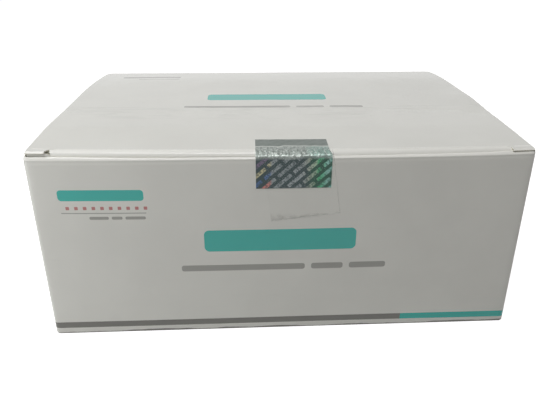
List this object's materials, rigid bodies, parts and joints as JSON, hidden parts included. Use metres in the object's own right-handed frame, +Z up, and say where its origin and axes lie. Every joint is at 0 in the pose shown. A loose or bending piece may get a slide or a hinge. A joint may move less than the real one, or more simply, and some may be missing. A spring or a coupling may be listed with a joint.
{
  "type": "folding carton",
  "caption": "Closed white folding carton for rapid test kits, with a slit-locked tuck lid, a foil tamper seal over the seam and clear tape over the seal.",
  "frame": {"origin": "middle of the bottom of the carton, on the surface that it stands on", "axes": "+X to the right along the front wall, +Y from the sealed front wall to the hinged rear wall, +Z up"},
  "size_m": [0.203, 0.1452, 0.0858],
  "materials": {
    "coated_board": "satin",
    "seal_foil": "satin",
    "tape_film": "gloss"
  },
  "bodies": {
    "root": {"carton": "coated_board", "tamper_seal": "seal_foil", "clear_tape": "tape_film"}
  },
  "joints": []
}
